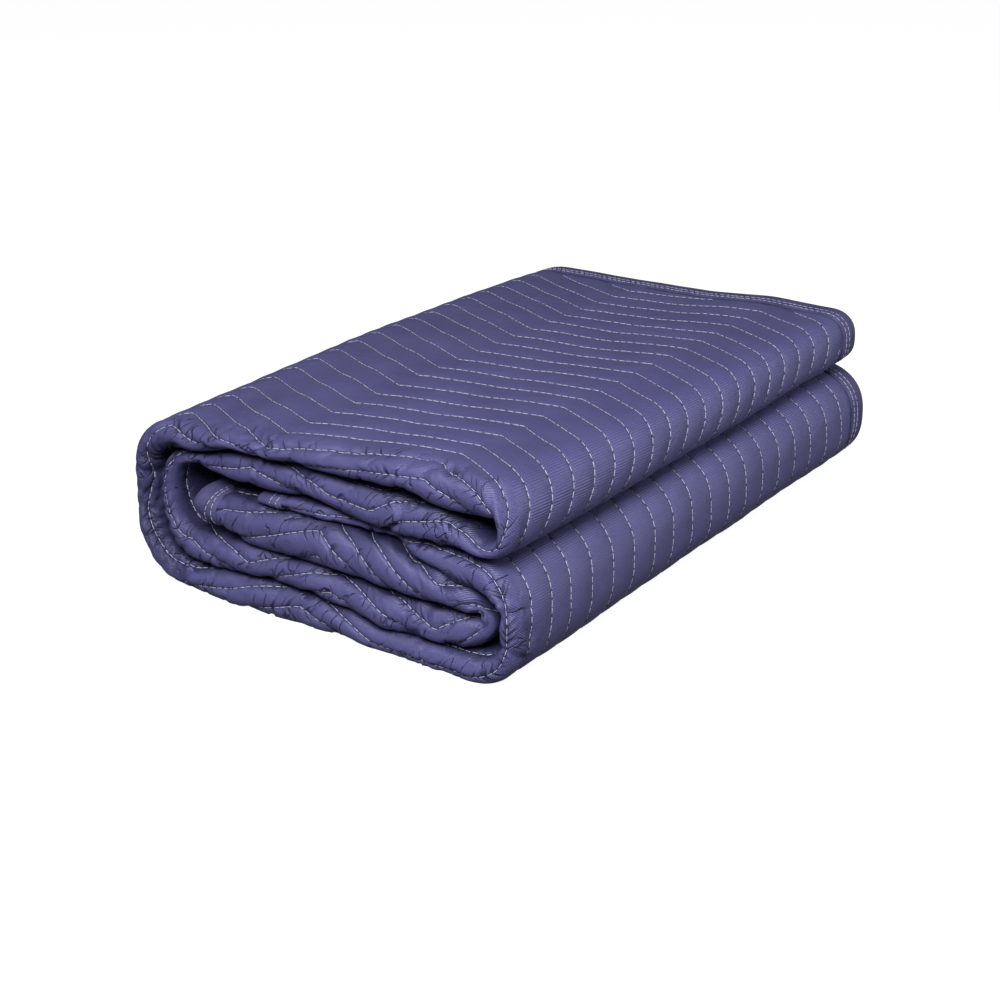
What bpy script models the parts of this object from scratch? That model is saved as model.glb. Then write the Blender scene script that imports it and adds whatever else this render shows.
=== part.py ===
"""Quilted moving blanket, folded in half across its width and then in six along its length.

+X runs along the fold ridges, from the wrapped spine at the left to the two rounded folds at the right.
+Y runs from the ridges back to the bound edges, and +Z is up. The origin is the middle of the underside.
The blanket is one strip that is followed from end to end: a place on it is the distance along the strip,
the depth Y and the offset from the middle of the doubled layer.
"""

import math

import bpy
import numpy as np

MM = 0.001

# Folded stack
DEPTH = 500.0
NEAR_Y = -DEPTH / 2
SPINE_X = -110.0
SETTLED_X = -48.0

# Doubled layer, which is two plies with a slit between them
LAYER_SHARE = 0.152
SLIT = 1.6

# Quilting, whose lines run along the strip in zigzags
LINES = 19
ZIGZAG_RUN = 108.0
ZIGZAG_RISE = 28.0
ZIGZAG_PEAK_FROM_SPINE = 16.0
ZIGZAG_FADE = 60.0
GROOVE = 2.2
GROOVE_FADE = 35.0

# Binding tape, folded over the edge of each ply
TAPE_WIDTH = 21.0
TAPE_THICKNESS = 1.1
TAPE_GAP = 0.3
TAPE_ROUND = 1.2
TAPE_SUNK = 0.4
SHOULDER = 5.0

# Steps of the mesh
RUN_STEP = 36.0
TURN_STEPS = 8
NOSE_STEPS = 6

# Height of the stack: x, height at the ridges, height at the hems
STACK = (
    (SPINE_X, 124.0, 124.0),
    (SETTLED_X, 130.0, 124.5),
    (20.0, 135.0, 125.5),
    (90.0, 139.0, 127.0),
    (130.0, 140.0, 122.0),
)

# Halfway between the ridges and the hems the stack is fuller by these shares: at the spine, at the folds
CROWN_SPINE = 0.05
CROWN_FOLDS = -0.03

# Level of each doubled layer in the stack, from 0 at the bottom to 1 at the top: at the spine, past the spine
LEVELS = {
    "bottom_outer": (0.0, 0.0),
    "bottom_inner": (0.22, 0.2),
    "middle_inner": (0.48, 0.4),
    "middle_outer": (0.63, 0.6),
    "top_inner": (0.79, 0.8),
    "top_outer": (1.0, 1.0),
}

# Turns between layers: x where it starts, outer reach at the ridges and at the hems, thickness there as a
# share of the layer's, squareness
TURNS = {
    "lower_fold": (121.0, 166.0, 167.0, 0.85, 2.7),
    "outer_spine": (SPINE_X, -166.0, -165.0, 0.95, 2.7),
    "upper_fold": (136.0, 163.0, 158.0, 0.62, 2.2),
    "inner_spine": (SPINE_X, -144.0, -143.0, 0.95, 2.3),
    "inner_fold": (112.0, 137.0, 139.0, 0.70, 2.1),
}

# The strip from end to end: a layer with its first and last x, or a turn between two layers
END_UPPER_X = -47.0
END_LOWER_X = -113.0
STRIP = (
    ("layer", "middle_outer", END_UPPER_X, TURNS["lower_fold"][0]),
    ("turn", "lower_fold", "middle_outer", "bottom_outer"),
    ("layer", "bottom_outer", TURNS["lower_fold"][0], SPINE_X),
    ("turn", "outer_spine", "bottom_outer", "top_outer"),
    ("layer", "top_outer", SPINE_X, TURNS["upper_fold"][0]),
    ("turn", "upper_fold", "top_outer", "top_inner"),
    ("layer", "top_inner", TURNS["upper_fold"][0], SPINE_X),
    ("turn", "inner_spine", "top_inner", "bottom_inner"),
    ("layer", "bottom_inner", SPINE_X, TURNS["inner_fold"][0]),
    ("turn", "inner_fold", "bottom_inner", "middle_inner"),
    ("layer", "middle_inner", TURNS["inner_fold"][0], END_LOWER_X),
)

# How far each stretch reaches: y of its ridge, y of its outer ply's edge, y of its inner ply's edge
REACH = {
    "middle_outer": (-235.0, 244.0, 247.0),
    "lower_fold": (-247.0, 249.0, 246.0),
    "bottom_outer": (-250.0, 249.0, 244.0),
    "outer_spine": (-247.0, 246.0, 243.0),
    "top_outer": (-250.0, 242.0, 250.0),
    "upper_fold": (-248.0, 243.0, 250.0),
    "top_inner": (-236.0, 246.0, 240.0),
    "inner_spine": (-241.0, 243.0, 240.0),
    "bottom_inner": (-247.0, 245.0, 248.0),
    "inner_fold": (-241.0, 243.0, 246.0),
    "middle_inner": (-248.0, 247.0, 243.0),
}
RIDGE_WAVE = 1.5
RIDGE_WAVE_LENGTH = 95.0

# Runs of stretches whose outer face shows its quilting; the underside stays flat, where the weight presses it
QUILTED = (("lower_fold", "lower_fold"), ("outer_spine", "upper_fold"))

CLOTH_COLOUR = (0.085, 0.080, 0.210, 1.0)
TAPE_COLOUR = (0.070, 0.062, 0.170, 1.0)


def clear_scene():
    for obj in list(bpy.data.objects):
        bpy.data.objects.remove(obj, do_unlink=True)


def smooth(value):
    value = min(max(value, 0.0), 1.0)
    return value * value * (3.0 - 2.0 * value)


def stack_height(x, side):
    """Height of the whole stack at x, at the ridges (side 0) or at the hems (side 1)."""
    rows = STACK
    for low, high in zip(rows, rows[1:]):
        if x <= high[0]:
            share = smooth((x - low[0]) / (high[0] - low[0]))
            return low[1 + side] + share * (high[1 + side] - low[1 + side])
    return rows[-1][1 + side]


def layer_thickness(x, side):
    """Thickness of one doubled layer, a sixth of the height less the gap to the next."""
    return stack_height(x, side) * LAYER_SHARE


def layer_middle(name, x, side):
    """Height of the middle of a doubled layer at x."""
    at_spine, settled = LEVELS[name]
    level = at_spine + (settled - at_spine) * smooth((x - SPINE_X) / (SETTLED_X - SPINE_X))
    thickness = layer_thickness(x, side)
    return thickness / 2 + level * (stack_height(x, side) - thickness)


def layer_points(stretch, side):
    """Middle line of a layer, as (x, z, thickness), without its last point.

    The strip's two ends have extra points where the tape ends and where the padding is full.
    """
    _, name, first, last = stretch
    length = abs(last - first)
    steps = max(2, round(length / RUN_STEP))
    stops = [length * i / steps for i in range(steps)]
    taped = (TAPE_WIDTH, TAPE_WIDTH + SHOULDER)
    if stretch is STRIP[0]:
        stops += taped
    if stretch is STRIP[-1]:
        stops += [length - stop for stop in taped]
    points = []
    for stop in sorted(stops):
        x = first + math.copysign(stop, last - first)
        points.append((x, layer_middle(name, x, side), layer_thickness(x, side)))
    return points


def turn_points(name, before, after, side):
    """Middle line of a turn, a rounded half oval between two layers, without its last point."""
    start, near_reach, far_reach, thin, square = TURNS[name]
    reach = near_reach if side == 0 else far_reach
    full = layer_thickness(start, side)
    z_before = layer_middle(before, start, side)
    z_after = layer_middle(after, start, side)
    run = reach - start - math.copysign(full * thin / 2, reach - start)
    points = []
    for i in range(TURN_STEPS):
        angle = math.pi * i / TURN_STEPS
        across = math.sin(angle) ** (2 / square)
        along = math.copysign(abs(math.cos(angle)) ** (2 / square), math.cos(angle))
        z = (z_before + z_after) / 2 + along * (z_before - z_after) / 2
        points.append((start + run * across, z, full * (1 - (1 - thin) * math.sin(angle) ** 2)))
    return points


class Section:
    """Middle line of the strip at the ridges (side 0) or at the hems (side 1), with its normals."""

    def __init__(self, side):
        points = []
        self.stretches = []
        for stretch in STRIP:
            if stretch[0] == "layer":
                new = layer_points(stretch, side)
            else:
                new = turn_points(stretch[1], stretch[2], stretch[3], side)
            self.stretches += [stretch[1]] * len(new)
            points += new
        last = STRIP[-1]
        points.append((last[3], layer_middle(last[1], last[3], side), layer_thickness(last[3], side)))
        self.stretches.append(last[1])
        table = np.array(points)
        self.middle = table[:, :2]
        self.half = table[:, 2] / 2
        tangent = np.gradient(self.middle, axis=0)
        tangent /= np.linalg.norm(tangent, axis=1)[:, None]
        self.normal = np.stack([-tangent[:, 1], tangent[:, 0]], axis=1)
        steps = np.linalg.norm(np.diff(self.middle, axis=0), axis=1)
        self.distance = np.concatenate([[0.0], np.cumsum(steps)])


class Strip:
    """The whole folded strip: turns a distance along it, a depth y and an offset into a point."""

    def __init__(self):
        self.sides = (Section(0), Section(1))
        self.stretches = self.sides[0].stretches
        self.distance = (self.sides[0].distance + self.sides[1].distance) / 2
        self.half = (self.sides[0].half + self.sides[1].half) / 2
        self.length = float(self.distance[-1])

    def at(self, values, s):
        """Value at distance s, carried straight on past either end."""
        if s < 0.0:
            slope = (values[1] - values[0]) / (self.distance[1] - self.distance[0])
            return values[0] + slope * s
        if s > self.length:
            slope = (values[-1] - values[-2]) / (self.distance[-1] - self.distance[-2])
            return values[-1] + slope * (s - self.length)
        return np.interp(s, self.distance, values)

    def half_thickness(self, s):
        return float(np.interp(s, self.distance, self.half))

    def point(self, s, y, offset):
        """Point in metres; the offset is scaled with the layer's thickness at the ridges and at the hems."""
        ends = []
        for side in self.sides:
            scale = np.interp(s, self.distance, side.half) / self.half_thickness(s)
            x = self.at(side.middle[:, 0], s) + offset * scale * self.at(side.normal[:, 0], s)
            z = self.at(side.middle[:, 1], s) + offset * scale * self.at(side.normal[:, 1], s)
            ends.append((x, z))
        share = (y - NEAR_Y) / DEPTH
        x = ends[0][0] + share * (ends[1][0] - ends[0][0])
        z = ends[0][1] + share * (ends[1][1] - ends[0][1])
        across = smooth((x - SPINE_X) / (STACK[-1][0] - SPINE_X))
        crown = CROWN_SPINE + across * (CROWN_FOLDS - CROWN_SPINE)
        z *= 1.0 + crown * max(4.0 * share * (1.0 - share), 0.0)
        return x * MM, y * MM, max(z, 0.0) * MM

    def start_of(self, stretch):
        return float(self.distance[self.stretches.index(stretch)])

    def end_of(self, stretch):
        after = len(self.stretches) - self.stretches[::-1].index(stretch)
        return float(self.distance[after])

    def quilting(self, s):
        """None where the outer face is plain, or else 0 to 1, rising from either end of a quilted run."""
        for first, last in QUILTED:
            start = self.start_of(first)
            stop = self.end_of(last)
            if start <= s <= stop:
                return smooth(min(s - start, stop - s) / GROOVE_FADE)
        return None

    def reach(self, column, s):
        """Y of the ridge or of a ply's edge, blended between the middles of the stretches."""
        middles = []
        values = []
        for entry in STRIP:
            held = [d for d, name in zip(self.distance, self.stretches) if name == entry[1]]
            middles.append((held[0] + held[-1]) / 2)
            values.append(REACH[entry[1]][column])
        return float(np.interp(s, middles, values))

    def ridge(self, s):
        wave = RIDGE_WAVE * math.sin(2 * math.pi * s / RIDGE_WAVE_LENGTH)
        return self.reach(0, s) + wave + RIDGE_WAVE

    def end_share(self, s):
        """1 inside the tape of either short end, falling to 0 past the shoulder of the padding."""
        inside = min(s, self.length - s)
        return 1.0 - smooth((inside - TAPE_WIDTH) / SHOULDER)


def zigzag(strip, s):
    """Sideways shift of the quilting lines at distance s, a regular zigzag."""
    peak = strip.start_of("top_outer") - ZIGZAG_PEAK_FROM_SPINE
    turns = (s - peak) / ZIGZAG_RUN
    across = abs(turns % 2.0 - 1.0)
    return ZIGZAG_RISE * (across - 0.5)


def ply_levels(strip, s, share):
    """Offsets of a ply's padded face and of its slit face, where share is 1 at the pressed edge.

    Both faces draw in there by the tape, so that the taped edge is no thicker than the ply.
    """
    half = strip.half_thickness(s)
    drawn_in = TAPE_GAP + TAPE_THICKNESS
    return half - share * (drawn_in + TAPE_SUNK), SLIT / 2 + share * drawn_in


def quilt_outline(strip, index):
    """Outside and inside lines of the doubled quilt at one station, as (key, y, offset).

    The key runs from the outer ply's edge at -1, over the ridge at 0, to the inner ply's edge at 1.
    """
    s = float(strip.distance[index])
    quilting = strip.quilting(s)
    ridge = strip.ridge(s)
    end = strip.end_share(s)
    face, slit = ply_levels(strip, s, end)
    edge_face, edge_slit = ply_levels(strip, s, 1.0)
    centre = ridge + strip.half_thickness(s)
    shift = zigzag(strip, s)
    outside = []
    inside = []
    for ply, sign in ((1, 1.0), (2, -1.0)):
        edge = strip.reach(ply, s)
        first = centre
        last = edge - TAPE_WIDTH - SHOULDER
        rows = 2 * LINES
        outer = [(1.0, edge, sign * edge_face), (0.95, edge - TAPE_WIDTH, sign * edge_face)]
        inner = [(1.0, edge, sign * edge_slit), (0.95, edge - TAPE_WIDTH, sign * edge_slit)]
        fine = ply == 1 and quilting is not None
        step = 1 if fine else rows // 2
        for row in range(rows, -1, -step):
            y = first + (last - first) * row / rows
            fade = smooth((y - first) / ZIGZAG_FADE) * smooth((last - y) / ZIGZAG_FADE)
            sunk = GROOVE * quilting if fine and row % 2 else 0.0
            outer.append((0.2 + 0.7 * row / rows, y + shift * fade, sign * (face - sunk)))
        for row in (rows, rows // 2, 0):
            y = first + (last - first) * row / rows
            inner.append((0.2 + 0.7 * row / rows, y, sign * slit))
        for i in range(NOSE_STEPS // 2 - 1, 0, -1):
            angle = math.pi * i / NOSE_STEPS
            key = 0.4 * i / NOSE_STEPS
            outer.append((key, centre - face * math.cos(angle), sign * face * math.sin(angle)))
            if end > 0.0:
                inner.append((key, centre - slit * math.cos(angle), sign * slit * math.sin(angle)))
        if ply == 1:
            outside = [(-key, y, w) for key, y, w in outer]
            inside = [(-key, y, w) for key, y, w in inner]
        else:
            outside += [(0.0, centre - face, 0.0)] + outer[::-1]
            inside += [(0.0, centre - slit, 0.0)] + inner[::-1]
    return outside, inside


def tape_outline(face, slit):
    """Outside and inside lines of a tape folded over an edge, as (key, distance past the edge, offset)."""
    lip = TAPE_GAP - TAPE_WIDTH
    tip = TAPE_GAP + TAPE_THICKNESS
    outside = [
        (0.0, lip, face + tip),
        (0.4, tip - TAPE_ROUND, face + tip),
        (0.5, tip, face + tip - TAPE_ROUND),
        (0.6, tip, slit - tip + TAPE_ROUND),
        (0.7, tip - TAPE_ROUND, slit - tip),
        (1.0, lip, slit - tip),
    ]
    inside = [
        (0.0, lip, face + TAPE_GAP),
        (0.4, TAPE_GAP, face + TAPE_GAP),
        (0.7, TAPE_GAP, slit - TAPE_GAP),
        (1.0, lip, slit - TAPE_GAP),
    ]
    return outside, inside


def bridge(faces, one, two, flip):
    """Faces between two lines of (key, vertex); lines with unlike counts are joined by fans."""
    i = 0
    j = 0
    while i < len(one) - 1 or j < len(two) - 1:
        next_one = one[i + 1][0] if i < len(one) - 1 else math.inf
        next_two = two[j + 1][0] if j < len(two) - 1 else math.inf
        if abs(next_one - next_two) < 1e-6:
            face = [one[i][1], one[i + 1][1], two[j + 1][1], two[j][1]]
            i += 1
            j += 1
        elif next_one < next_two:
            face = [one[i][1], one[i + 1][1], two[j][1]]
            i += 1
        else:
            face = [one[i][1], two[j + 1][1], two[j][1]]
            j += 1
        faces.append(face[::-1] if flip else face)


def sweep(outlines, flip=False):
    """Vertices and faces of a solid swept through outlines, each an outside and an inside line of points."""
    vertices = []
    faces = []
    rings = []
    for outline in outlines:
        ring = []
        for line in outline:
            ring.append([(key, len(vertices) + n) for n, (key, _) in enumerate(line)])
            vertices += [point for _, point in line]
        rings.append(ring)
    for (out_a, in_a), (out_b, in_b) in zip(rings, rings[1:]):
        bridge(faces, out_a, out_b, flip)
        bridge(faces, in_a, in_b, not flip)
        for end in (0, -1):
            side = [out_a[end][1], out_b[end][1], in_b[end][1], in_a[end][1]]
            faces.append(side if (end == 0) != flip else side[::-1])
    bridge(faces, rings[0][0], rings[0][1], not flip)
    bridge(faces, rings[-1][0], rings[-1][1], flip)
    return vertices, faces


def add_solid(name, vertices, faces, material, collection):
    mesh = bpy.data.meshes.new(name)
    mesh.from_pydata(vertices, [], faces)
    mesh.validate()
    mesh.shade_smooth()
    mesh.set_sharp_from_angle(angle=math.radians(50))
    obj = bpy.data.objects.new(name, mesh)
    obj.data.materials.append(material)
    collection.objects.link(obj)
    return obj


def cloth_material(name, colour, roughness):
    material = bpy.data.materials.new(name)
    material.use_nodes = True
    shader = material.node_tree.nodes["Principled BSDF"]
    shader.inputs["Base Color"].default_value = colour
    shader.inputs["Roughness"].default_value = roughness
    shader.inputs["Metallic"].default_value = 0.0
    return material


def build_quilt(strip, material, collection):
    """The quilted cloth: two plies joined at the ridge, open at the hems."""
    outlines = []
    for index in range(len(strip.distance)):
        s = float(strip.distance[index])
        lines = quilt_outline(strip, index)
        outlines.append([[(key, strip.point(s, y, w)) for key, y, w in line] for line in lines])
    vertices, faces = sweep(outlines)
    return add_solid("quilt", vertices, faces, material, collection)


def build_edge_tape(strip, name, ply, material, collection):
    """Tape along the long edge of one ply, through the whole strip."""
    sign = 1.0 if ply == 1 else -1.0
    outlines = []
    for s in strip.distance:
        edge = strip.reach(ply, s)
        lines = tape_outline(*ply_levels(strip, s, 1.0))
        outlines.append(
            [[(key, strip.point(s, edge + y, sign * w)) for key, y, w in line] for line in lines]
        )
    vertices, faces = sweep(outlines, flip=ply == 1)
    return add_solid(name, vertices, faces, material, collection)


def build_end_tape(strip, name, at_start, material, collection):
    """Tape across a short end of the blanket: in along the outer ply, round the ridge and out again."""
    end = 0.0 if at_start else strip.length
    outward = -1.0 if at_start else 1.0
    stops = [strip.reach(ply, end) - TAPE_WIDTH - 2 * TAPE_THICKNESS for ply in (1, 2)]
    quarter = math.pi / 2
    route = [(stops[0], quarter), (0.0, quarter)]
    route += [(None, quarter - math.pi * i / NOSE_STEPS) for i in range(NOSE_STEPS + 1)]
    route += [(0.0, -quarter), (stops[1], -quarter)]
    outlines = []
    for y, angle in route:
        outline = []
        for line in tape_outline(*ply_levels(strip, end, 1.0)):
            points = []
            for key, past, radius in line:
                s = end + outward * past
                centre = strip.ridge(s) + strip.half_thickness(s) if y is None else y
                y_here = centre - radius * math.cos(angle)
                points.append((key, strip.point(s, y_here, radius * math.sin(angle))))
            outline.append(points)
        outlines.append(outline)
    vertices, faces = sweep(outlines, flip=not at_start)
    return add_solid(name, vertices, faces, material, collection)


def main():
    clear_scene()
    collection = bpy.data.collections.new("moving_blanket")
    bpy.context.scene.collection.children.link(collection)
    cloth = cloth_material("quilt_cloth", CLOTH_COLOUR, 0.8)
    tape = cloth_material("binding_tape", TAPE_COLOUR, 0.75)
    strip = Strip()
    build_quilt(strip, cloth, collection)
    build_edge_tape(strip, "binding_outer_ply", 1, tape, collection)
    build_edge_tape(strip, "binding_inner_ply", 2, tape, collection)
    build_end_tape(strip, "binding_end_upper", True, tape, collection)
    build_end_tape(strip, "binding_end_lower", False, tape, collection)


main()
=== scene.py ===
import math

import bpy
import numpy as np
from mathutils import Matrix, Vector


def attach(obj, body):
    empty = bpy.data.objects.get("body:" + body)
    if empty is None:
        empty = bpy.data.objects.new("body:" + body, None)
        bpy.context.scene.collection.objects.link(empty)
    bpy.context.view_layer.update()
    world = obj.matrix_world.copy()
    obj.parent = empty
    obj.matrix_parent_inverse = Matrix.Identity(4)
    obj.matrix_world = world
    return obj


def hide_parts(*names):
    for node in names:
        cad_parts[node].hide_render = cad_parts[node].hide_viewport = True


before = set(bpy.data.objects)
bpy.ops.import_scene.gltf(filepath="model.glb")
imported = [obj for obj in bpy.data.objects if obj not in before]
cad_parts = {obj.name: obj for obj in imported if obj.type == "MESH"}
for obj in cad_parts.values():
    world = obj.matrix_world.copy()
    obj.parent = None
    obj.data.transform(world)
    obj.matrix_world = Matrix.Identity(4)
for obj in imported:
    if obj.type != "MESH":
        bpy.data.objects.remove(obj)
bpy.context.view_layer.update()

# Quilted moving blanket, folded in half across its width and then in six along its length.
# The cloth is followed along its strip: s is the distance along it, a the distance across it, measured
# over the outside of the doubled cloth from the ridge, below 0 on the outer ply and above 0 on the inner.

MM = 0.001

# Folded stack
DEPTH = 500.0
NEAR_Y = -DEPTH / 2
SPINE_X = -110.0
SETTLED_X = -48.0
LAYER_SHARE = 0.152
SLIT = 1.6

# Height of the stack at the hems: x, height
FAR_STACK = ((SPINE_X, 124.0), (SETTLED_X, 124.0), (20.0, 125.0), (90.0, 129.5), (138.0, 128.5))

# The stack is fuller halfway between the ridges and the hems by these shares: at the spine, at the folds
CROWN_SPINE = 0.05
CROWN_FOLDS = -0.03
FOLDS_X = 130.0

# Level of each doubled layer at the hems, from 0 at the bottom to 1 at the top: at the spine, past the spine
FAR_LEVELS = {
    "bottom_outer": (0.0, 0.0),
    "bottom_inner": (0.22, 0.2),
    "middle_inner": (0.48, 0.39),
    "middle_outer": (0.63, 0.575),
    "top_inner": (0.79, 0.77),
    "top_outer": (1.0, 1.0),
}

# Each doubled layer at its ridge: x, height of its middle, thickness, y of its ridge
NEAR_LAYERS = {
    "bottom_outer": (
        (-110.0, 8.5, 20.0, -248.0),
        (-70.0, 9.5, 26.0, -250.0),
        (-10.0, 10.5, 28.0, -250.0),
        (25.0, 9.0, 23.0, -250.0),
        (55.0, 6.5, 19.0, -250.0),
        (121.0, 6.5, 19.0, -250.0),
    ),
    "bottom_inner": (
        (-110.0, 31.0, 26.0, -246.0),
        (-70.0, 35.0, 25.0, -249.0),
        (-10.0, 35.5, 22.0, -249.0),
        (25.0, 32.0, 22.0, -249.0),
        (55.0, 28.5, 27.0, -250.0),
        (112.0, 29.5, 27.0, -248.0),
    ),
    "middle_inner": (
        (-107.0, 71.0, 22.0, -247.0),
        (-87.0, 65.5, 30.0, -249.0),
        (-50.0, 62.5, 33.0, -250.0),
        (0.0, 62.5, 31.0, -250.0),
        (50.0, 60.0, 33.0, -249.0),
        (100.0, 57.0, 23.0, -248.0),
        (112.0, 55.0, 19.0, -248.0),
    ),
    "middle_outer": (
        (-48.0, 82.5, 11.0, -243.0),
        (0.0, 83.5, 13.0, -243.0),
        (35.0, 83.0, 12.0, -238.0),
        (60.0, 82.0, 12.0, -234.0),
        (100.0, 75.5, 18.0, -245.0),
        (121.0, 72.5, 22.0, -248.0),
    ),
    "top_inner": (
        (-110.0, 97.5, 12.0, -243.0),
        (-60.0, 100.5, 25.0, -247.0),
        (0.0, 103.0, 23.0, -247.0),
        (55.0, 99.0, 29.0, -248.0),
        (100.0, 97.0, 27.0, -249.0),
        (120.0, 94.5, 19.0, -248.0),
        (136.0, 91.0, 12.0, -248.0),
    ),
    "top_outer": (
        (-110.0, 113.8, 20.0, -250.0),
        (-60.0, 121.0, 16.0, -250.0),
        (20.0, 125.0, 20.0, -250.0),
        (80.0, 127.3, 22.0, -250.0),
        (108.0, 124.8, 29.0, -250.0),
        (136.0, 125.5, 27.0, -250.0),
    ),
}

# Turns between layers: x where it starts, reach at the ridges and at the hems, thickness there as a share
# of the layer's, squareness at the ridges and at the hems, y of its ridge
TURNS = {
    "lower_fold": (121.0, 166.0, 169.0, 0.75, 2.7, 2.7, -248.0),
    "outer_spine": (SPINE_X, -166.0, -165.0, 0.95, 2.7, 2.7, -247.0),
    "upper_fold": (136.0, 163.0, 160.5, 0.62, 2.2, 2.9, -249.0),
    "inner_spine": (SPINE_X, -144.0, -143.0, 0.85, 2.3, 2.3, -244.0),
    "inner_fold": (112.0, 146.0, 139.0, 0.60, 2.1, 2.1, -243.0),
}

# The strip from end to end: a layer with its first and last x, or a turn between two layers
END_UPPER_X = -48.0
END_LOWER_X = -105.0
STRIP = (
    ("layer", "middle_outer", END_UPPER_X, TURNS["lower_fold"][0]),
    ("turn", "lower_fold", "middle_outer", "bottom_outer"),
    ("layer", "bottom_outer", TURNS["lower_fold"][0], SPINE_X),
    ("turn", "outer_spine", "bottom_outer", "top_outer"),
    ("layer", "top_outer", SPINE_X, TURNS["upper_fold"][0]),
    ("turn", "upper_fold", "top_outer", "top_inner"),
    ("layer", "top_inner", TURNS["upper_fold"][0], SPINE_X),
    ("turn", "inner_spine", "top_inner", "bottom_inner"),
    ("layer", "bottom_inner", SPINE_X, TURNS["inner_fold"][0]),
    ("turn", "inner_fold", "bottom_inner", "middle_inner"),
    ("layer", "middle_inner", TURNS["inner_fold"][0], END_LOWER_X),
)

# Y of each ply's edge in every stretch: outer ply, inner ply
EDGES = {
    "middle_outer": (244.0, 247.0),
    "lower_fold": (249.0, 246.0),
    "bottom_outer": (249.0, 244.0),
    "outer_spine": (246.0, 243.0),
    "top_outer": (242.0, 250.0),
    "upper_fold": (243.0, 250.0),
    "top_inner": (246.0, 240.0),
    "inner_spine": (243.0, 240.0),
    "bottom_inner": (245.0, 248.0),
    "inner_fold": (243.0, 246.0),
    "middle_inner": (247.0, 243.0),
}

# Quilting lines: distance from the start of the top layer, y of the line in the middle, pitch of the lines
LINES = (
    (-686.0, -60.0, 25.0),
    (-627.0, -53.0, 25.0),
    (-589.0, -34.0, 25.0),
    (-545.0, -20.0, 25.0),
    (-440.0, -27.0, 26.2),
    (-356.0, -27.0, 26.2),
    (-328.0, -32.0, 25.7),
    (-263.0, -73.0, 24.8),
    (-232.0, -62.0, 24.7),
    (-162.0, -38.0, 24.4),
    (-90.0, -31.0, 24.2),
    (-64.0, -41.0, 24.1),
    (-13.0, -17.0, 24.0),
    (82.0, -62.0, 24.0),
    (207.0, -42.0, 24.0),
    (287.0, -85.0, 24.6),
    (330.0, -99.0, 24.6),
    (360.0, -89.0, 24.6),
    (385.0, -68.0, 24.6),
    (424.0, -64.0, 24.6),
    (492.0, -93.0, 24.6),
    (570.0, -61.0, 24.6),
    (637.0, -54.0, 24.6),
    (697.0, -86.0, 24.6),
    (770.0, -44.0, 24.6),
    (856.0, -88.0, 24.6),
    (916.0, -34.0, 24.6),
    (931.0, -29.0, 24.6),
    (965.0, -52.0, 24.6),
    (1028.0, -105.0, 24.6),
    (1127.0, -70.0, 24.6),
)

# Relief of the cloth
GROOVE = 1.7
FLAT_GROOVE = 0.42
GROOVE_WIDTH = 4.2
NOSE_LENGTH = 13.0
TOP_NOSE_LENGTH = 20.0
NOSE_ZONE = 15.0
CROWDED_ROW = -6.0
CROWDED_SHARE = 0.853
SHOWN_OVERLAP = 22.0

# Binding tape
TAPE_WIDTH = 21.0
TAPE_THICKNESS = 1.1
TAPE_GAP = 0.3
TAPE_SUNK = 0.4
SHOULDER = 5.0

# Steps of the mesh: along the strip, parts of a channel between two lines
STATION = 2.2
PARTS = 16
FINE_ROWS = (0, 1, 3, 8, 13, 15)
NOSE_ROWS = (0, 1, 3, 5, 8, 11, 13, 15)
MEDIUM_ROWS = (0, 2, 8, 14)
SPARSE_EVERY = 64

# Weave
RIB_PITCH = 1.75

# Thread
STITCH_PITCH = 5.7
STITCH_LENGTH = 4.4
THREAD = 0.27
HEM_STITCH_PITCH = 4.8
HEM_STITCH_LENGTH = 3.8
HEM_ROWS = (4.0, 9.5)

# Round soft boxes: name, power in watts, size and place in metres
SOFT_BOXES = (
    ("key", 52.0, 0.9, (0.72, -1.38, 1.46)),
    ("side", 6.5, 0.7, (1.25, 0.9, 0.55)),
)
LIT_POINT = Vector((0.0, 0.0, 0.07))

# Radius and height of the rings of the floor and the backdrop, in metres
FLOOR_PROFILE = ((6.0, 0.0), (7.0, 0.1), (7.9, 0.5), (8.6, 1.2), (9.0, 2.2), (9.0, 9.0))


def smooth(value):
    value = np.clip(value, 0.0, 1.0)
    return value * value * (3.0 - 2.0 * value)


def lookup(rows, x, column):
    """Column of a short table at x, rising smoothly from row to row."""
    xs = np.array([row[0] for row in rows])
    values = np.array([row[column] for row in rows])
    x = np.asarray(x, float)
    i = np.clip(np.searchsorted(xs, x) - 1, 0, len(xs) - 2)
    share = smooth((x - xs[i]) / (xs[i + 1] - xs[i]))
    return values[i] + share * (values[i + 1] - values[i])


def lattice(i, j, seed):
    """A fixed pseudo-random value from -1 to 1 for each pair of whole numbers."""
    n = (i * 374761393 + j * 668265263 + seed * 144269504) & 0xFFFFFFFF
    n = ((n ^ (n >> 13)) * 1274126177) & 0xFFFFFFFF
    n = n ^ (n >> 16)
    return (n & 0xFFFF) / 32767.5 - 1.0


def noise(u, v, seed):
    """Smooth noise from -1 to 1 in two coordinates, with features one unit wide."""
    u = np.asarray(u, float)
    v = np.asarray(v, float)
    i = np.floor(u).astype(np.int64)
    j = np.floor(v).astype(np.int64)
    fu = smooth(u - i)
    fv = smooth(v - j)
    low = lattice(i, j, seed) * (1 - fu) + lattice(i + 1, j, seed) * fu
    high = lattice(i, j + 1, seed) * (1 - fu) + lattice(i + 1, j + 1, seed) * fu
    return low * (1 - fv) + high * fv


def far_layer(name, x):
    """Middle height and thickness of a doubled layer at the hems."""
    height = lookup(FAR_STACK, x, 1)
    thickness = height * LAYER_SHARE
    at_spine, settled = FAR_LEVELS[name]
    level = at_spine + (settled - at_spine) * smooth((x - SPINE_X) / (SETTLED_X - SPINE_X))
    return thickness / 2 + level * (height - thickness), thickness


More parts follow.
